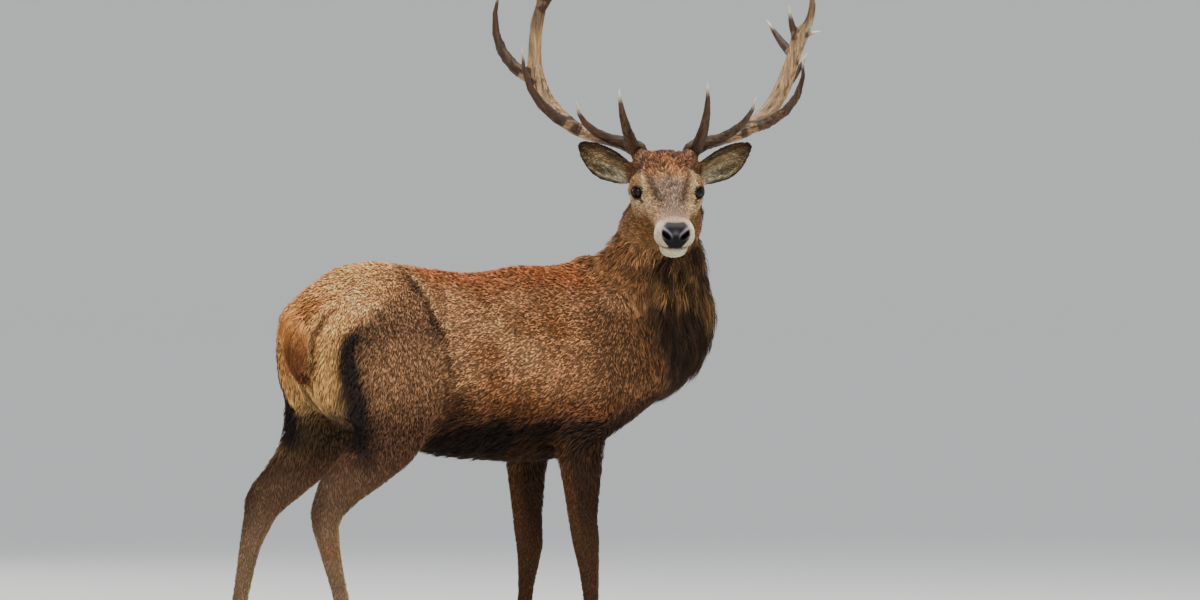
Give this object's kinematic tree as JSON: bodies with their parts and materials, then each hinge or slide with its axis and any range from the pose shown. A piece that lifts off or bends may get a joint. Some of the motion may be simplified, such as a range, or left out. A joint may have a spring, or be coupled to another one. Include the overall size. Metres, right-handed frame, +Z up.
{
  "type": "red deer stag",
  "caption": "Life-size red deer stag standing with its head turned back over its right side, branched antlers, shaggy neck mane and cloven hooves; a still museum model.",
  "frame": {"origin": "middle of the bounding box's footprint, at the level of the soles", "axes": "+X towards the stag's chest, +Y towards its left side, +Z up; the head is turned to its right, towards -Y and a little back"},
  "size_m": [1.8746, 0.7372, 2.0913],
  "materials": {
    "coat": "brown winter coat of hair, matte with a soft sheen along the hairs",
    "antler": "ridged bone, dark brown at the base and pale at the tips",
    "horn": "black hoof horn, dull with faint growth rings",
    "eye": "wet, very dark brown"
  },
  "bodies": {
    "root": {"antler_left_beam": "antler", "antler_left_bez": "antler", "antler_left_brow": "antler", "antler_left_crown_inner": "antler", "antler_left_crown_outer": "antler", "antler_left_outer": "antler", "antler_left_rear": "antler", "antler_left_trez": "antler", "antler_right_beam": "antler", "antler_right_bez": "antler", "antler_right_brow": "antler", "antler_right_crown_inner": "antler", "antler_right_outer": "antler", "antler_right_trez": "antler", "ear_left": "coat", "ear_right": "coat", "eye_left": "eye", "eye_right": "eye", "fore_left_claw_left": "horn", "fore_left_claw_right": "horn", "fore_left_dewclaw_left": "horn", "fore_left_dewclaw_right": "horn", "fore_left_lower": "coat", "fore_left_upper": "coat", "fore_right_claw_left": "horn", "fore_right_claw_right": "horn", "fore_right_dewclaw_left": "horn", "fore_right_dewclaw_right": "horn", "fore_right_lower": "coat", "fore_right_upper": "coat", "head": "coat", "hind_left_claw_left": "horn", "hind_left_claw_right": "horn", "hind_left_dewclaw_left": "horn", "hind_left_dewclaw_right": "horn", "hind_left_lower": "coat", "hind_left_upper": "coat", "hind_right_claw_left": "horn", "hind_right_claw_right": "horn", "hind_right_dewclaw_left": "horn", "hind_right_dewclaw_right": "horn", "hind_right_lower": "coat", "hind_right_upper": "coat", "neck": "coat", "tail": "coat", "trunk": "coat"}
  },
  "joints": []
}
